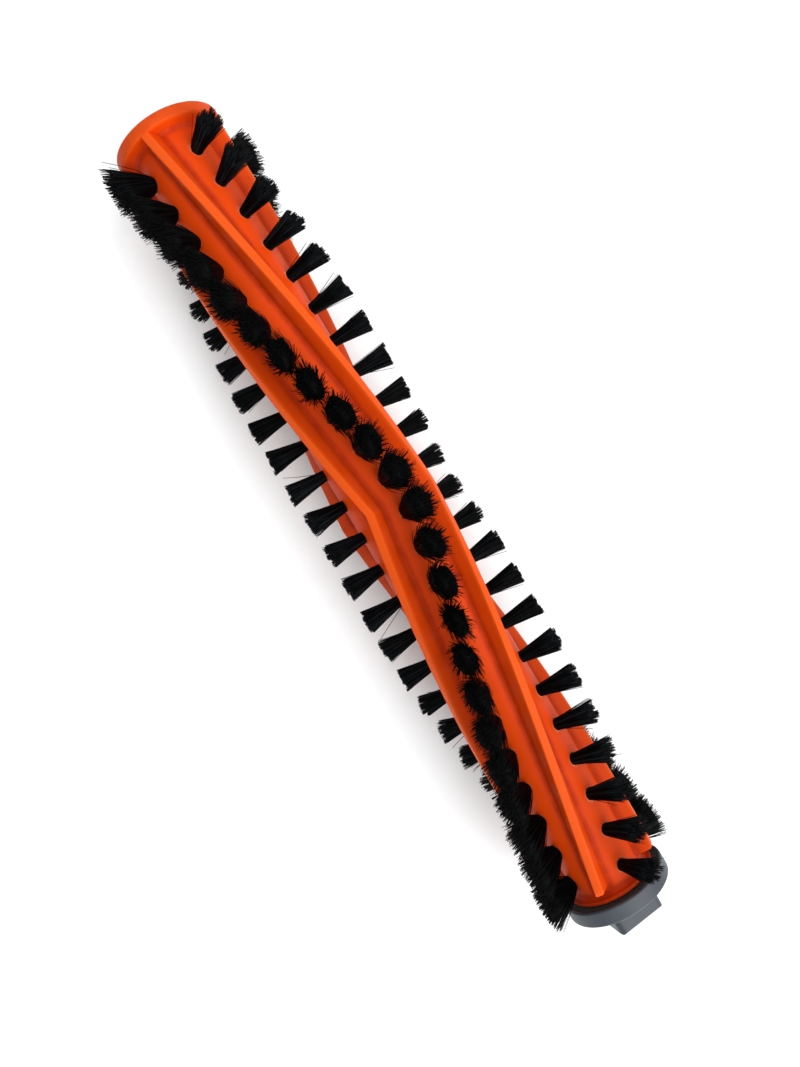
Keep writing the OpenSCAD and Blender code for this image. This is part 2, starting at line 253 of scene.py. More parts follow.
class Finish:
    """One material, with a Principled shader that its makers fill."""

    def __init__(self, name):
        self.material = bpy.data.materials.new(name)
        self.material.use_nodes = True
        self.tree = self.material.node_tree
        self.tree.nodes.clear()

    def node(self, kind, options=None, sockets=None, output=0):
        """Adds a node: its options first, then the values or links of its sockets."""
        made = self.tree.nodes.new(kind)
        for key, value in (options or {}).items():
            if key == "stops":
                ramp = made.color_ramp.elements
                while len(ramp) < len(value):
                    ramp.new(0.5)
                for stop, (place, shade) in zip(ramp, value):
                    stop.position = place
                    stop.color = shade
            else:
                setattr(made, key, value)
        for key, value in (sockets or {}).items():
            if isinstance(value, Wire):
                self.tree.links.new(value.socket, made.inputs[key])
            else:
                made.inputs[key].default_value = value
        return Wire(self, made.outputs[output])

    def place(self, stretch=(1.0, 1.0, 1.0)):
        """The point on the object, in metres, stretched for grain that runs one way."""
        here = self.node("ShaderNodeTexCoord", output="Object")
        return self.node("ShaderNodeMapping", None, {"Vector": here, "Scale": stretch})

    def noise(self, size, detail=3.0, rough=0.55, stretch=(1.0, 1.0, 1.0)):
        """Noise of a given grain size in metres, from 0 to 1."""
        return self.node("ShaderNodeTexNoise", None,
                         {"Vector": self.place(stretch), "Scale": 1.0 / size,
                          "Detail": detail, "Roughness": rough})

    def mixed(self, share, first, second, blend="MIX"):
        """Mixes two colours."""
        made = {"data_type": "RGBA", "blend_type": blend, "clamp_factor": True}
        a, b = (c if isinstance(c, Wire) else (*c, 1.0) for c in (first, second))
        return self.node("ShaderNodeMix", made, {0: share, 6: a, 7: b}, output=2)

    def bump(self, height, strength, distance):
        return self.node("ShaderNodeBump", None,
                         {"Height": height, "Strength": strength, "Distance": distance})

    def shader(self, **sockets):
        named = {key.replace("_", " "): value for key, value in sockets.items()}
        made = self.node("ShaderNodeBsdfPrincipled", None, named)
        self.node_output(made)
        return self.material

    def node_output(self, made):
        out = self.tree.nodes.new("ShaderNodeOutputMaterial")
        self.tree.links.new(made.socket, out.inputs["Surface"])


def rgb(value):
    return tuple(value)[:3]


def orange_plastic(colours):
    """Satin moulded plastic: slow tone drift, fine scuffs, painted shade mottled like dust in the
    corners, and painted highlights on the crests, the flange and the hole edges.
    """
    f = Finish("moulded_orange")
    drift = f.noise(0.02, detail=3.0)
    flow = f.noise(0.006, detail=4.0, stretch=(0.12, 1.0, 1.0))
    # Painted shade, mottled by noise like settled dust, in the corners, round the tuft mouths,
    # over the lip and on the flange's rim
    corner = f.node("ShaderNodeAttribute", {"attribute_name": "corner"}, None, "Fac")
    dust_and_shade = (corner * (f.noise(0.004, detail=5.0) * 0.9 + 0.35)).clamped(0.05, 1.0)
    raised = f.node("ShaderNodeAttribute", {"attribute_name": "raised"}, None, "Fac")
    # Painted highlight round the edge of each tuft hole, broken up by noise
    brink = f.node("ShaderNodeAttribute", {"attribute_name": "brink"}, None, "Fac")
    worn = brink * (f.noise(0.0022, detail=4.0) * 0.9 + 0.1)
    scuffs = f.noise(0.0011, detail=6.0, rough=0.7, stretch=(0.35, 1.0, 1.0))
    scuffed = scuffs.clamped(0.69, 0.78) * f.noise(0.02, detail=2.0).clamped(0.5, 0.66)
    orange = Vector(rgb(colours.orange))
    base = f.mixed(drift.clamped(0.3, 0.7), rgb(orange * 0.93), rgb(orange * 1.05))
    base = f.mixed(flow.clamped(0.35, 0.7) * 0.45, base, rgb(orange * 0.84))
    # Painted highlight: the crests and the flange turn paler and yellower, as lit plastic looks
    base = f.mixed(raised.clamped(0.72, 1.0) * 0.75, base, rgb(colours.rubbed_and_highlight))
    # Painted shade, with some dust, from the mask above
    base = f.mixed(dust_and_shade * 0.75, base, rgb(colours.shade_and_grime))
    base = f.mixed(scuffed * 0.4, base, rgb(colours.chalky))
    # Painted highlight on the hole edges
    base = f.mixed(worn, base, rgb(colours.chalky))
    rough = 0.4 + 0.1 * f.noise(0.0035, detail=4.0) + 0.16 * dust_and_shade + 0.12 * scuffed
    grain = f.noise(0.00042, detail=2.0) * 0.5 + f.noise(0.0024, detail=3.0) * 0.5
    return f.shader(Base_Color=base, Roughness=rough, IOR=1.5, Specular_IOR_Level=0.09,
                    Normal=f.bump(grain - 0.6 * scuffed, 0.16, 0.00008))


def grey_plastic(colours):
    """Moulded grey plastic with faint turning marks and rubbed spots."""
    f = Finish("moulded_grey")
    drift = f.noise(0.009, detail=3.0)
    rubbed_and_highlight = f.noise(0.0009, detail=6.0, rough=0.72, stretch=(1.0, 0.3, 0.3)).clamped(0.64, 0.8)
    grey = Vector(rgb(colours.grey))
    base = f.mixed(drift.clamped(0.3, 0.72), rgb(grey * 0.9), rgb(grey * 1.12))
    base = f.mixed(rubbed_and_highlight * 0.35, base, rgb(grey * 2.2))
    rough = 0.42 + 0.14 * drift + 0.1 * rubbed_and_highlight
    grain = f.noise(0.0005, detail=3.0)
    return f.shader(Base_Color=base, Roughness=rough, IOR=1.5, Specular_IOR_Level=0.4,
                    Normal=f.bump(grain - 0.7 * rubbed_and_highlight, 0.2, 0.00008))


def black_nylon(colours):
    """Glass-filled nylon: nearly black, with fine grey flecks."""
    f = Finish("black_nylon")
    fleck = f.noise(0.0006, detail=5.0, rough=0.7).clamped(0.55, 0.8)
    black = Vector(rgb(colours.black))
    base = f.mixed(fleck * 0.5, rgb(black), rgb(black * 3.0))
    rough = 0.45 + 0.2 * f.noise(0.003, detail=3.0)
    return f.shader(Base_Color=base, Roughness=rough, IOR=1.53,
                    Normal=f.bump(fleck, 0.15, 0.00006))


def bristle_nylon(colours):
    """Black filaments: each has its own tone, those of highest tone carry painted glints, and the
    cut ends are a little paler.
    """
    f = Finish("bristle_nylon")
    tone = f.node("ShaderNodeAttribute", {"attribute_name": "tone"}, None, "Fac")
    tip = f.node("ShaderNodeAttribute", {"attribute_name": "tip"}, None, "Fac")
    black = Vector(rgb(colours.bristle))
    # Painted glints: the highest tones take the bluish grey of the sky's reflection, the top few
    # three times as bright as painted highlights
    base = f.mixed(tone ** 6.0, rgb(black), rgb(colours.glint_streak))
    base = f.mixed(tone.clamped(0.985, 1.0), base, rgb(Vector(rgb(colours.glint_streak)) * 3.0))
    base = f.mixed(tip * 0.3, base, rgb(black * 3.0))
    rough = 0.42 + 0.2 * tone
    return f.shader(Base_Color=base, Roughness=rough, IOR=1.53, Specular_IOR_Level=0.045)


def pressed_felt(colours):
    """Dark pressed felt with a woolly surface; its dark brown also stands in for painted shade in
    the gap between the core's end and the cap.
    """
    f = Finish("pressed_felt")
    wool = f.noise(0.0007, detail=6.0, rough=0.75)
    felt = Vector(rgb(colours.felt))
    base = f.mixed(wool.clamped(0.35, 0.7), rgb(felt * 0.5), rgb(felt * 2.0))
    return f.shader(Base_Color=base, Roughness=0.9 + 0.1 * wool,
                    Normal=f.bump(wool, 0.7, 0.0004))


def ground_steel(colours):
    """Bright steel with fine turned lines round the axis."""
    f = Finish("ground_steel")
    lines = f.noise(0.0006, detail=4.0, stretch=(1.0, 0.04, 0.04))
    steel = Vector(rgb(colours.steel))
    base = f.mixed(lines.clamped(0.3, 0.7), rgb(steel * 0.88), rgb(steel * 1.06))
    rough = 0.2 + 0.2 * lines
    return f.shader(Base_Color=base, Metallic=1.0, Roughness=rough,
                    Normal=f.bump(lines, 0.12, 0.00004))


def floor_card(_colours):
    """Plain pale card."""
    f = Finish("floor_card")
    fibre = f.noise(0.002, detail=4.0)
    base = f.mixed(fibre, (0.88, 0.905, 0.91), (0.91, 0.935, 0.94))
    return f.shader(Base_Color=base, Roughness=0.9)


def dress(obj, material):
    """Gives a piece one material."""
    if obj.material_slots:
        for slot in obj.material_slots:
            slot.link = "OBJECT"
            slot.material = material
    else:
        obj.data.materials.append(material)


# Meshes

def mesh_object(name, points, faces):
    mesh = bpy.data.meshes.new(name)
    mesh.from_pydata(points.tolist() if hasattr(points, "tolist") else points, [], faces)
    mesh.update()
    obj = bpy.data.objects.new(name, mesh)
    bpy.context.scene.collection.objects.link(obj)
    return obj


def applied(obj):
    """Turns the result of obj's modifiers into its mesh."""
    bpy.context.view_layer.update()
    shown = obj.evaluated_get(bpy.context.evaluated_depsgraph_get())
    mesh = bpy.data.meshes.new_from_object(shown)
    obj.modifiers.clear()
    obj.data = mesh


def chevron(sizes, x):
    """How far the chevron has turned at x, in radians, which is nothing at its point."""
    apex = (sizes.core_length - sizes.rib_gap) / 2
    run = np.sqrt((x - apex) ** 2 + sizes.apex_soft ** 2) - sizes.apex_back
    return -2 * math.pi / sizes.chevron_lead * run


def row_at(sizes, row, x):
    return sizes.row_angle + math.radians(row * ROW_STEP) + chevron(sizes, x)


def tuft_x(sizes, index):
    return sizes.first_tuft + index * sizes.tuft_pitch


def arc(centre, radius, start, end, steps):
    """Points of an arc as (x, radius) pairs."""
    turns = np.radians(np.linspace(start, end, steps + 1))
    return [(centre[0] + radius * math.cos(t), centre[1] + radius * math.sin(t)) for t in turns]


def rib_profile(sizes):
    """Half of a rib's section as (angle from its middle, radius), from crest to land."""
    crest = sizes.land_radius + sizes.rib_height
    half = sizes.rib_width / 2
    corner = 0.35 * MM
    crown = 0.05 * MM
    root = half + sizes.rib_draft
    cove_x = root + sizes.rib_cove
    cove_y = math.sqrt((sizes.land_radius + sizes.rib_cove) ** 2 - cove_x ** 2)
    lean = math.degrees(math.atan2(cove_x, cove_y))
    points = [(0.0, crest + crown), (half * 0.4, crest + crown * 0.8)]
    points += arc((half - corner, crest - corner), corner, 90, 8, 4)
    top = points[-1]
    foot = (root, cove_y)
    for share in (0.25, 0.5, 0.75):
        points.append((top[0] + (foot[0] - top[0]) * share, top[1] + (foot[1] - top[1]) * share))
    points += arc((cove_x, cove_y), sizes.rib_cove, 180, 270 - lean, 8)
    return [(math.atan2(a, r), math.hypot(a, r)) for a, r in points]


def core_stations(sizes):
    """The core's turned outline as (x, radius, rib limit, rib narrowing), bore to bore."""
    land = sizes.land_radius
    crest = land + sizes.rib_height + 0.1 * MM
    flange = land + sizes.rib_height + sizes.flange_rise
    lip = land + sizes.lip_height
    edge = 0.5 * MM
    lip_edge = 0.2 * MM
    end = sizes.core_length
    hub = sizes.axle_radius + 1.1 * MM
    pocket = sizes.insert_radius
    bottom = sizes.insert_length + sizes.fit_gap
    rib_end = end - sizes.rib_gap
    thick = sizes.flange_thickness
    rim = [(bottom, sizes.axle_radius), (bottom, pocket), (0.3 * MM, pocket),
           (0.0, pocket + 0.3 * MM), (0.0, (pocket + flange) / 2)]
    rim += arc((edge, flange - edge), edge, 180, 90, 4)
    rim += arc((thick - edge, flange - edge), edge, 90, 0, 4)
    outline = [(thick, r) for r in np.linspace(flange - edge, land + sizes.cove, 8)[1:-1]]
    outline += arc((thick + sizes.cove, land + sizes.cove), sizes.cove, 180, 270, 8)
    start = thick + sizes.cove
    stop = end - sizes.lip_width - sizes.cove
    apex = rib_end / 2
    free = np.arange(start, rib_end - sizes.rib_end_round, 1.0 * MM)[1:]
    fine = apex + np.arange(-4.0, 4.01, 0.25) * MM
    run = sorted(set(np.round(np.concatenate([free[abs(free - apex) > 4.2 * MM], fine]), 6)))
    stations = [(x, r, 0.0, 1.0) for x, r in rim] + [(x, r, crest, 1.0) for x, r in outline]
    stations += [(x, land, crest, 1.0) for x in run]
    narrow = sizes.rib_width / 2
    for turn in np.radians(np.linspace(0, 90, 8)):
        x = rib_end - sizes.rib_end_round * (1 - math.sin(turn))
        limit = crest - 0.1 * MM - sizes.rib_end_round * (1 - math.cos(turn))
        slim = narrow / (narrow - 0.7 * MM * (1 - math.cos(turn)))
        stations.append((x, land, limit, slim))
    slim = stations[-1][3]
    drop = stations[-1][2] - land
    stations += [(rib_end, land, land + drop * s, slim) for s in (0.8, 0.6, 0.4, 0.25, 0.1)]
    stations.append((rib_end + 0.15 * MM, land, land, slim))
    stations += [(x, land, land, 1.0) for x in np.linspace(rib_end + 0.5 * MM, stop, 3)]
    tail = arc((stop, land + sizes.cove), sizes.cove, 270, 360, 8)[1:]
    tail += arc((end - sizes.lip_width + lip_edge, lip - lip_edge), lip_edge, 180, 90, 3)
    tail += arc((end - lip_edge, lip - lip_edge), lip_edge, 90, 0, 3)
    tail += [(end, hub), (end + sizes.hub_rise - 0.2 * MM, hub),
             (end + sizes.hub_rise, hub - 0.2 * MM), (end + sizes.hub_rise, sizes.axle_radius)]
    stations += [(x, r, 0.0, 1.0) for x, r in tail]
    return np.array(stations)


def core_surface(sizes):
    """The core's points and faces: one turned grid whose columns follow the chevron."""
    profile = np.array(rib_profile(sizes))
    half = profile[:, 0]
    quarter = math.radians(ROW_STEP)
    gap = quarter - 2 * half[-1]
    between = half[-1] + gap * np.arange(1, 21) / 21
    columns = np.concatenate([-half[:0:-1], half, between])
    stations = core_stations(sizes)
    x, turned, limit, slim = stations.T
    all_columns, offset = [], []
    for rib in range(ROWS):
        all_columns.append(columns + rib * quarter)
        offset.append(columns)
    all_columns = np.concatenate(all_columns)
    offset = np.abs(np.concatenate(offset))
    offset = np.minimum(offset, quarter - offset)
    rib = np.interp(offset[None, :] * slim[:, None], half, profile[:, 1])
    radius = np.maximum(turned[:, None], np.minimum(rib, limit[:, None]))
    first_rib = sizes.row_angle + sizes.rib_offset
    turn = first_rib + chevron(sizes, x)[:, None] + all_columns[None, :]
    points = np.stack([np.broadcast_to(x[:, None], radius.shape), radius * np.sin(turn),
                       radius * np.cos(turn)], -1)
    rows, cols = radius.shape
    k = np.arange(rows)[:, None]
    c = np.arange(cols)[None, :]
    after, beside = (k + 1) % rows, (c + 1) % cols
    faces = np.stack([k * cols + c, after * cols + c, after * cols + beside,
                      k * cols + beside], -1)
    return points.reshape(-1, 3), faces.reshape(-1, 4).tolist()


def turned_cutter(mesh, profile, matrix, sides):
    """Adds a closed turned solid, given as (radius, height) pairs, to a bmesh."""
    rings = []
    for r, z in profile:
        ring = [mesh.verts.new(matrix @ Vector((r * math.cos(t), r * math.sin(t), z)))
                for t in (2 * math.pi * s / sides for s in range(sides))]
        rings.append(ring)
    for low, high in zip(rings, rings[1:]):
        for s in range(sides):
            n = (s + 1) % sides
            mesh.faces.new((low[s], low[n], high[n], high[s]))
    mesh.faces.new(rings[0][::-1])
    mesh.faces.new(rings[-1])


def at_angle(x, angle):
    """Places things that are drawn along Z at x, turned from the top towards +Y."""
    return Matrix.Translation((x, 0, 0)) @ Matrix.Rotation(-angle, 4, "X")


def at_tuft(sizes, row, x):
    """Places what is drawn along Z at a tuft, leaning about its root on the land."""
    root = Matrix.Translation((0, 0, sizes.land_radius))
    lean = Matrix.Rotation(-sizes.tuft_lean, 4, "X")
    return at_angle(x, row_at(sizes, row, x)) @ root @ lean @ root.inverted()


def hole_cutter(sizes):
    """The tuft holes with their broken edges, and the slots for the insert's keys."""
    mesh = bmesh.new()
    land, r, chamfer = sizes.land_radius, sizes.hole_radius, sizes.hole_chamfer
    over = 1.0 * MM
    profile = [(r, land - sizes.hole_depth), (r, land - chamfer), (r + chamfer, land),
               (r + chamfer + over, land + over)]
    for row in range(ROWS):
        for index in range(sizes.tufts):
            x = tuft_x(sizes, index)
            turned_cutter(mesh, profile, at_tuft(sizes, row, x), 32)
    gap = sizes.fit_gap
    deep = sizes.insert_length + gap
    high = sizes.key_height + gap + 1.0 * MM
    for side in (0.0, math.pi):
        slot = Matrix.Diagonal((deep + 1.0 * MM, sizes.key_width + 2 * gap, high, 1.0))
        middle = Matrix.Translation(((deep - 1.0 * MM) / 2, 0,
                                     sizes.insert_radius - 1.0 * MM + high / 2))
        bmesh.ops.create_cube(mesh, size=1.0, matrix=at_angle(0, side) @ middle @ slot)
    data = bpy.data.meshes.new("hole_cutter")
    mesh.to_mesh(data)
    mesh.free()
    obj = bpy.data.objects.new("hole_cutter", data)
    bpy.context.scene.collection.objects.link(obj)
    return obj


def mark_painted_light(obj, sizes):
    """Stores how much painted shade each point takes in the corners, and how much painted
    highlight by its height and at the edge of a hole.
    """
    count = len(obj.data.vertices)
    points = np.empty(count * 3)
    obj.data.vertices.foreach_get("co", points)
    points = points.reshape(-1, 3)
    x, radius = points[:, 0], np.hypot(points[:, 1], points[:, 2])
    turn = np.arctan2(points[:, 1], points[:, 2]) - sizes.row_angle - chevron(sizes, x)
    quarter = math.radians(ROW_STEP)
    rib = np.abs((turn - sizes.rib_offset + quarter / 2) % quarter - quarter / 2)
    # Painted shade along the foot of each rib
    foot = sizes.rib_width / 2 + sizes.rib_draft + 0.5 * sizes.rib_cove
    across = np.abs(rib * radius - foot)
    low = np.clip(1 - (radius - sizes.land_radius) / (3.2 * MM), 0, 1)
    corner = np.exp(-(across / (1.3 * MM)) ** 2) * low
    # Painted shade in the coves beside the flange and the lip
    near_end = np.minimum(abs(x - sizes.flange_thickness - 0.5 * MM),
                          abs(x - sizes.core_length + sizes.lip_width + 0.7 * MM))
    corner = np.maximum(corner, np.exp(-(near_end / (1.2 * MM)) ** 2) * low)
    row = np.abs((turn + quarter / 2) % quarter - quarter / 2) * radius
    along = (x - sizes.first_tuft + sizes.tuft_pitch / 2) % sizes.tuft_pitch
    tuft = np.hypot(along - sizes.tuft_pitch / 2, row)
    # Painted shade round each tuft's mouth
    mouth = np.exp(-(np.clip(tuft - sizes.hole_radius, 0, None) / (0.8 * MM)) ** 2) * low
    corner = np.maximum(corner, 0.35 * mouth)
    # Height over the land, which sets the painted highlight on the crests and the flange
    raised = np.clip((radius - sizes.land_radius) / sizes.rib_height, 0, 1)
    # The edge of each hole, which takes a painted highlight
    brink = np.exp(-((tuft - sizes.hole_radius) / (0.25 * MM)) ** 2)
    brink *= np.clip(1 - np.abs(radius - sizes.land_radius) / (0.5 * MM), 0, 1)
    land = (x > sizes.flange_thickness) & (x < sizes.core_length - sizes.lip_width)
    # Painted shadow over the lip, which the cap's rim shades
    lip = np.exp(-((sizes.core_length - x) / (2.4 * MM)) ** 2)
    # The flange's rim is darkened with the same colour
    rim = 0.6 * ((x <= sizes.flange_thickness) & (radius > sizes.land_radius + sizes.rib_height))
    corner = np.maximum.reduce([corner * land, lip, rim])
    for name, values in (("corner", corner), ("raised", raised), ("brink", brink * land)):
        layer = obj.data.attributes.new(name, "FLOAT", "POINT")
        layer.data.foreach_set("value", values.astype(np.float32))


def build_core(sizes, colours):
    points, faces = core_surface(sizes)
    core = mesh_object("moulded_core", points, faces)
    mesh = bmesh.new()
    mesh.from_mesh(core.data)
    bmesh.ops.remove_doubles(mesh, verts=mesh.verts, dist=0.002 * MM)
    bmesh.ops.dissolve_degenerate(mesh, edges=mesh.edges, dist=0.001 * MM)
    bmesh.ops.recalc_face_normals(mesh, faces=mesh.faces)
    mesh.to_mesh(core.data)
    mesh.free()
    cutter = hole_cutter(sizes)
    cut = core.modifiers.new("holes", "BOOLEAN")
    cut.operation = "DIFFERENCE"
    cut.solver = "MANIFOLD"
    cut.object = cutter
    applied(core)
    bpy.data.objects.remove(cutter)
    if not 50_000 < len(core.data.polygons) < 200_000:
        raise RuntimeError(f"the core came out with {len(core.data.polygons)} faces")
    mark_painted_light(core, sizes)
    core.data.shade_smooth()
    core.data.set_sharp_from_angle(angle=math.radians(32))
    dress(core, orange_plastic(colours))
    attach(core, "roller")
    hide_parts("core")
    return core


def bundle_middles(rng, shape):
    """Where a tuft's bundles stand: spread over its tip, or round its rim in the soft rows."""
    number = np.arange(shape.bundles)
    if shape.worn:
        turns = 2 * math.pi * (number + rng.uniform(-0.4, 0.4, len(number))) / len(number)
        out = rng.uniform(0.85, 1.0, len(number))
    else:
        turns = GOLDEN_TURN * number + rng.uniform(0, 6.28)
        out = np.sqrt((number + 0.5) / len(number)) * rng.uniform(0.85, 1.0, len(number))
    return np.stack([np.cos(turns), np.sin(turns)], -1) * out[:, None]


def tuft_filaments(rng, look, sizes, shape, lean):
    """One tuft's filaments on the land, as paths (filament, step, along/across) and heights."""
    count, steps, points = look.count, 4, shape.bundles
    share = np.sqrt((np.arange(count) + 0.5) / count)
    spiral = np.arange(count) * GOLDEN_TURN + rng.uniform(0, 6.28)
    base = np.stack([share * np.cos(spiral), share * np.sin(spiral)], -1)
    base += rng.normal(0, 0.03, base.shape)
    clumps = bundle_middles(rng, shape)
    nearest = np.argmin(((base[:, None] - clumps[None]) ** 2).sum(-1), 1)
    outer = np.clip((share - 0.55) / 0.45, 0, 1)
    gathered = outer if shape.worn else 0.6
    pull = (gathered * rng.uniform(0.25, 0.75, points)[nearest])[:, None]
    aim = base + (clumps[nearest] - base) * pull
    stand = rng.uniform(-0.35, 1.0, points)[nearest] * 0.7 + rng.uniform(-0.3, 0.5, count)
    aim = aim * (1 + shape.fringe * stand * outer ** 2)[:, None]
    tip = aim * np.array(shape.spread) + rng.normal(0, 0.12 * MM, aim.shape)
    astray = rng.random(count) < look.stray
    tip += astray[:, None] * rng.normal(0, (0.8 if shape.worn else 1.1) * MM, tip.shape)
    tip += lean
    base = base * sizes.hole_radius * 0.92
    high = look.reach - np.abs(rng.normal(0, look.ragged, count))
    high -= (outer if shape.worn else 1.0) * rng.uniform(0, shape.jagged, points)[nearest]
    high -= astray * rng.uniform(0, 1.6 * MM, count)
    rise = np.linspace(0, 1, steps)
    bend = shape.splay * rng.uniform(0.87, 1.17, count)
    curve = rise[None, :] ** bend[:, None]
    flat = base[:, None, :] + (tip - base)[:, None, :] * curve[..., None]
    start = -1.2 * MM
    up = start + (high - start)[:, None] * rise[None, :]
    return flat, up


def tuft_heart(rng, look, sizes, shape, lean):
    """Rings of the solid heart that a tuft's inner filaments make, as paths and heights."""
    sides = 14
    turns = 2 * math.pi * np.arange(sides) / sides
    ring = np.stack([np.cos(turns), np.sin(turns)], -1)
    root = ring * sizes.hole_radius * 0.88
    uneven = rng.uniform(0.8, 1.12, sides) if shape.worn else rng.uniform(0.93, 1.04, sides)
    tip = ring * uneven[:, None] * np.array(shape.spread) * shape.heart + lean
    rise = np.array([0.0, 0.2, 0.45, 0.72, 1.0]) * shape.heart_top
    flat = root[:, None, :] + (tip - root)[:, None, :] * rise[None, :, None] ** shape.splay
    up = np.broadcast_to(-1.2 * MM + (look.reach + 1.2 * MM) * rise, (sides, len(rise)))
    return flat, up


def filament_prisms(rng, look, paths):
    """Three-sided prisms round the paths: points, faces, and each point's place on its path."""
    count, steps, _ = paths.shape
    heading = paths[:, -1] - paths[:, 0]
    heading /= np.linalg.norm(heading, axis=1)[:, None]
    side = np.cross(heading, rng.normal(0, 1, heading.shape))
    side /= np.linalg.norm(side, axis=1)[:, None]
    other = np.cross(heading, side)
    thin = np.linspace(1.0, 0.72, steps)
    turns = 2 * math.pi * np.arange(3) / 3
    ring = (np.cos(turns)[None, :, None] * side[:, None] +
            np.sin(turns)[None, :, None] * other[:, None])
    points = paths[:, :, None, :] + look.filament * thin[None, :, None, None] * ring[:, None]
    k = np.arange(count)[:, None, None] * steps * 3
    s = np.arange(steps - 1)[None, :, None] * 3
    c = np.arange(3)[None, None, :]
    n = (c + 1) % 3
    walls = np.stack([k + s + c, k + s + n, k + s + 3 + n, k + s + 3 + c], -1).reshape(-1, 4)
    last = (np.arange(count) * steps * 3 + (steps - 1) * 3)[:, None] + np.arange(3)[None, :]
    return points.reshape(-1, 3), walls, last


def tuft_shape(look, row, outward):
    """How a tuft spreads and parts; every other row is of softer nylon, and worn wide."""
    if row % 2:
        return SimpleNamespace(worn=False, spread=(look.along, look.across), fringe=look.fringe,
                               heart=look.heart, heart_top=look.heart_top,
                               bundles=look.bundles, jagged=look.jagged, splay=look.splay)
    along = look.worn_along + look.worn_ends * math.sqrt(abs(outward))
    across = look.worn_across + look.worn_flare * math.sqrt(abs(outward - look.worn_waist))
    return SimpleNamespace(worn=True, spread=(along, across),
                           fringe=look.worn_fringe * (look.worn_along / along) ** 2,
                           heart=look.worn_heart, heart_top=look.worn_heart_top,
                           bundles=look.worn_bundles, jagged=look.worn_jagged,
                           splay=look.worn_splay)


def build_row(sizes, look, row, material):
    rng = np.random.default_rng(look.seed * 101 + row)
    all_points, all_faces, tones, tips = [], [], [], []
    low = CAD_BOX[0][2] + 0.02 * MM
    used = 0
    for index in range(sizes.tufts):
        x = tuft_x(sizes, index)
        turn = row_at(sizes, row, x)
        out = np.array([0, math.sin(turn), math.cos(turn)])
        across = np.array([0, math.cos(turn), -math.sin(turn)])
        along = np.array([1.0, 0, 0])
        outward = 2 * index / (sizes.tufts - 1) - 1
        shape = tuft_shape(look, row, outward)
        swing = look.worn_swing * (1.0 if outward < 0 else 0.5) if shape.worn else 0.0
        lean = rng.normal(0, 0.25 * MM, 2)
        lean += np.array([outward ** 5 * 1.0 * MM, -swing * outward ** 4])

        def placed(flat, up, clear):
            reach = sizes.land_radius + up
            side = flat[..., 1] + up * math.tan(sizes.tuft_lean)
            height = np.sqrt(np.maximum(reach ** 2 - side ** 2, 0))
            paths = (np.array([x, 0, 0]) + flat[..., :1] * along + side[..., None] * across +
                     height[..., None] * out)
            paths[..., 2] = np.maximum(paths[..., 2], low + clear)
            return paths

        paths = placed(*tuft_filaments(rng, look, sizes, shape, lean), look.filament)
        points, walls, ends = filament_prisms(rng, look, paths)
        count, steps = paths.shape[:2]
        heart = placed(*tuft_heart(rng, look, sizes, shape, lean), 2 * look.filament)
        sides, rings = heart.shape[:2]
        k, n = np.arange(sides)[:, None] * rings, (np.arange(sides)[:, None] + 1) % sides * rings
        j = np.arange(rings - 1)[None, :]
        skin = np.stack([n + j, k + j, k + j + 1, n + j + 1], -1).reshape(-1, 4)
        top = [[i * rings + rings - 1 for i in range(sides)][::-1]]
        all_points += [points, heart.reshape(-1, 3)]
        all_faces += (walls + used).tolist() + (ends + used).tolist()
        used += len(points)
        all_faces += (skin + used).tolist() + [[v + used for v in top[0]]]
        used += sides * rings
        # A random tone for each filament; the highest tones carry painted glints
        tone = rng.random(count) * (0.72 if shape.worn else 0.88)
        tones += [np.repeat(tone, steps * 3), np.zeros(sides * rings)]
        tips += [np.tile(np.repeat(np.linspace(0, 1, steps) ** 6, 3), count),
                 np.zeros(sides * rings)]
    obj = mesh_object(f"bristles_row_{row + 1}", np.concatenate(all_points), all_faces)
    for name, values in (("tone", tones), ("tip", tips)):
        layer = obj.data.attributes.new(name, "FLOAT", "POINT")
        layer.data.foreach_set("value", np.concatenate(values).astype(np.float32))
    obj.data.shade_smooth()
    dress(obj, material)
    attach(obj, "roller")
    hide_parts(f"bristle_row_{row + 1}")
    return obj


class ROLLER_OT_core(bpy.types.Operator):
    """Build the moulded core with its ribs and tuft holes"""
    bl_idname = "roller.core"
    bl_label = "Moulded core"

    def execute(self, context):
        sizes, _, colours, _ = settings(context)
        build_core(sizes, colours)
        return {"FINISHED"}


class ROLLER_OT_bristles(bpy.types.Operator):
    """Plant the four rows of bristle tufts"""
    bl_idname = "roller.bristles"
    bl_label = "Bristle rows"

    def execute(self, context):
        sizes, look, colours, _ = settings(context)
        material = bristle_nylon(colours)
        for row in range(ROWS):
            build_row(sizes, look, row, material)
        return {"FINISHED"}


class ROLLER_OT_cap(bpy.types.Operator):
    """Finish the end cap and its dust seal"""
    bl_idname = "roller.cap"
    bl_label = "End cap"

    def execute(self, context):
        colours = settings(context)[2]
        dress(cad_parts["end_cap"], grey_plastic(colours))
        dress(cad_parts["dust_seal"], pressed_felt(colours))
        return {"FINISHED"}


class ROLLER_OT_inner(bpy.types.Operator):
    """Finish the drive insert, the axle, the bearing and the anchors"""
    bl_idname = "roller.inner"
    bl_label = "Inner pieces"

    def execute(self, context):
        colours = settings(context)[2]
        nylon, steel = black_nylon(colours), ground_steel(colours)
        for name in ("drive_insert", "bearing_cage"):
            dress(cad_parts[name], nylon)
        for name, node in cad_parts.items():
            if name.startswith(("axle", "anchor", "bearing_", "thrust", "retaining")):
                if name != "bearing_cage":
                    dress(node, steel)
        return {"FINISHED"}


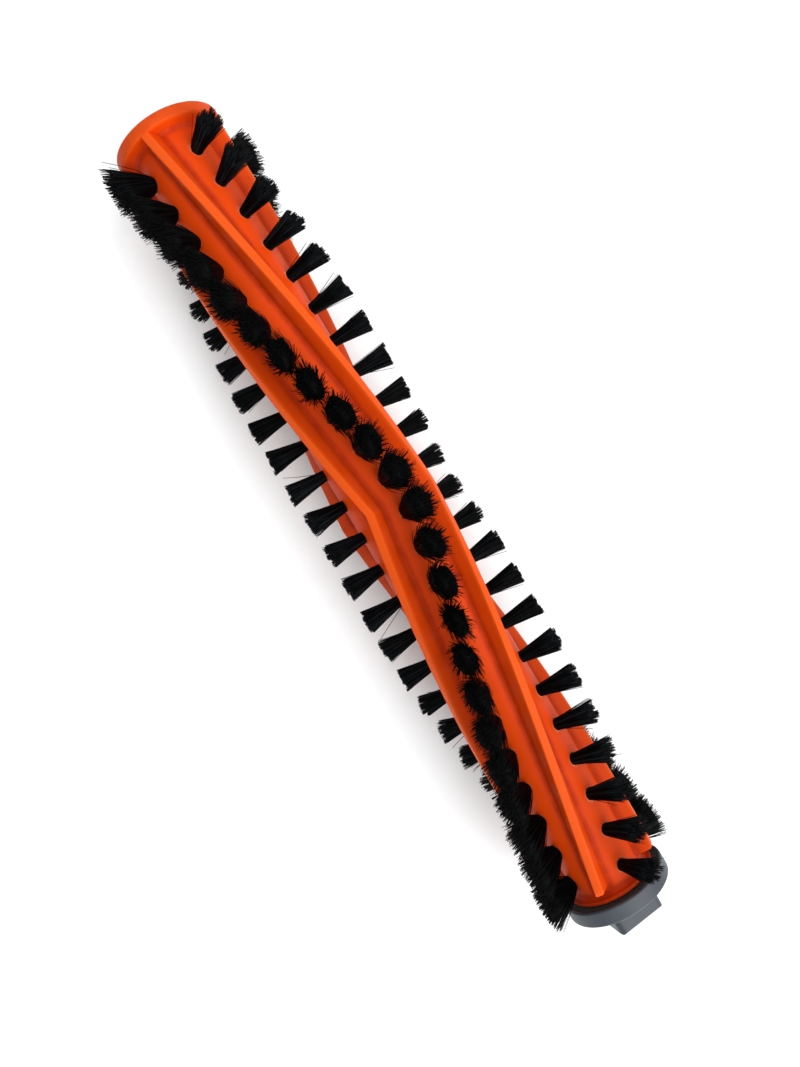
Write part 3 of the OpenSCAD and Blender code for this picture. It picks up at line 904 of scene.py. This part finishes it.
def soft_sky(look):
    """Even white light all round, in front of a paler backdrop."""
    world = bpy.data.worlds.new("soft_sky")
    world.use_nodes = True
    nodes, links = world.node_tree.nodes, world.node_tree.links
    sky = nodes["Background"]
    sky.inputs["Color"].default_value = (1.0, 1.0, 1.0, 1.0)
    level = nodes.new("ShaderNodeMapRange")
    level.inputs["To Min"].default_value = look.sky_level
    level.inputs["To Max"].default_value = look.backdrop
    seen = nodes.new("ShaderNodeLightPath").outputs["Is Camera Ray"]
    links.new(seen, level.inputs["Value"])
    links.new(level.outputs["Result"], sky.inputs["Strength"])
    return world


def hang_lamp(scene, look, name, level, turn, height):
    """Hangs a wide far lamp; turn is its angle from +X towards +Y, height that over the floor."""
    lamp = bpy.data.lights.new(name, "SUN")
    lamp.angle = look.softness
    lamp.energy = level
    obj = bpy.data.objects.new(name, lamp)
    turn, height = math.radians(turn), math.radians(height)
    towards = Vector((math.cos(height) * math.cos(turn), math.cos(height) * math.sin(turn),
                      math.sin(height)))
    obj.rotation_euler = towards.to_track_quat("Z", "Y").to_euler()
    scene.collection.objects.link(obj)


class ROLLER_OT_stage(bpy.types.Operator):
    """Lay the floor and set the lamps and the camera"""
    bl_idname = "roller.stage"
    bl_label = "Stage"

    def execute(self, context):
        _, _, colours, look = settings(context)
        scene = context.scene
        low = CAD_BOX[0][2]
        span = 3.0
        floor = mesh_object("floor", [(-span, -span, low), (span, -span, low),
                                      (span, span, low), (-span, span, low)], [(0, 1, 2, 3)])
        dress(floor, floor_card(colours))

        scene.world = soft_sky(look)
        hang_lamp(scene, look, "key", look.key_level, 5, 28)
        hang_lamp(scene, look, "side", look.side_level, 60, 50)
        hang_lamp(scene, look, "fill", look.fill_level, 180, 50)

        lens = bpy.data.cameras.new("camera")
        lens.sensor_width = 36.0
        lens.lens = look.focal
        lens.clip_start = 0.01
        camera = bpy.data.objects.new("camera", lens)
        camera.location = look.camera_place
        camera.rotation_euler = look.camera_turn
        scene.collection.objects.link(camera)
        scene.camera = camera
        scene.view_settings.view_transform = "Standard"
        return {"FINISHED"}


OPERATORS = (ROLLER_OT_stage, ROLLER_OT_core, ROLLER_OT_bristles, ROLLER_OT_cap, ROLLER_OT_inner)
GROUPS = {"roller_sizes": RollerSizes, "roller_bristles": BristleLook,
          "roller_colours": FinishColours, "roller_stage": StageLook}


class ROLLER_PT_panel(bpy.types.Panel):
    """Lists the roller brush's pieces and sizes"""
    bl_label = "Roller brush"
    bl_space_type = "VIEW_3D"
    bl_region_type = "UI"
    bl_category = "Roller brush"

    def draw(self, context):
        for operator in OPERATORS:
            self.layout.operator(operator.bl_idname)
        for name, group in GROUPS.items():
            box = self.layout.box()
            for key in group.__annotations__:
                box.prop(getattr(context.scene, name), key)


CLASSES = (*GROUPS.values(), *OPERATORS, ROLLER_PT_panel)


def register():
    for item in CLASSES:
        bpy.utils.register_class(item)
    for name, group in GROUPS.items():
        setattr(bpy.types.Scene, name, PointerProperty(type=group))


def unregister():
    for name in GROUPS:
        delattr(bpy.types.Scene, name)
    for item in reversed(CLASSES):
        bpy.utils.unregister_class(item)


def main():
    register()
    bpy.ops.roller.stage()
    bpy.ops.roller.core()
    bpy.ops.roller.bristles()
    bpy.ops.roller.cap()
    bpy.ops.roller.inner()
    bpy.context.view_layer.update()


if __name__ == "__main__":
    main()
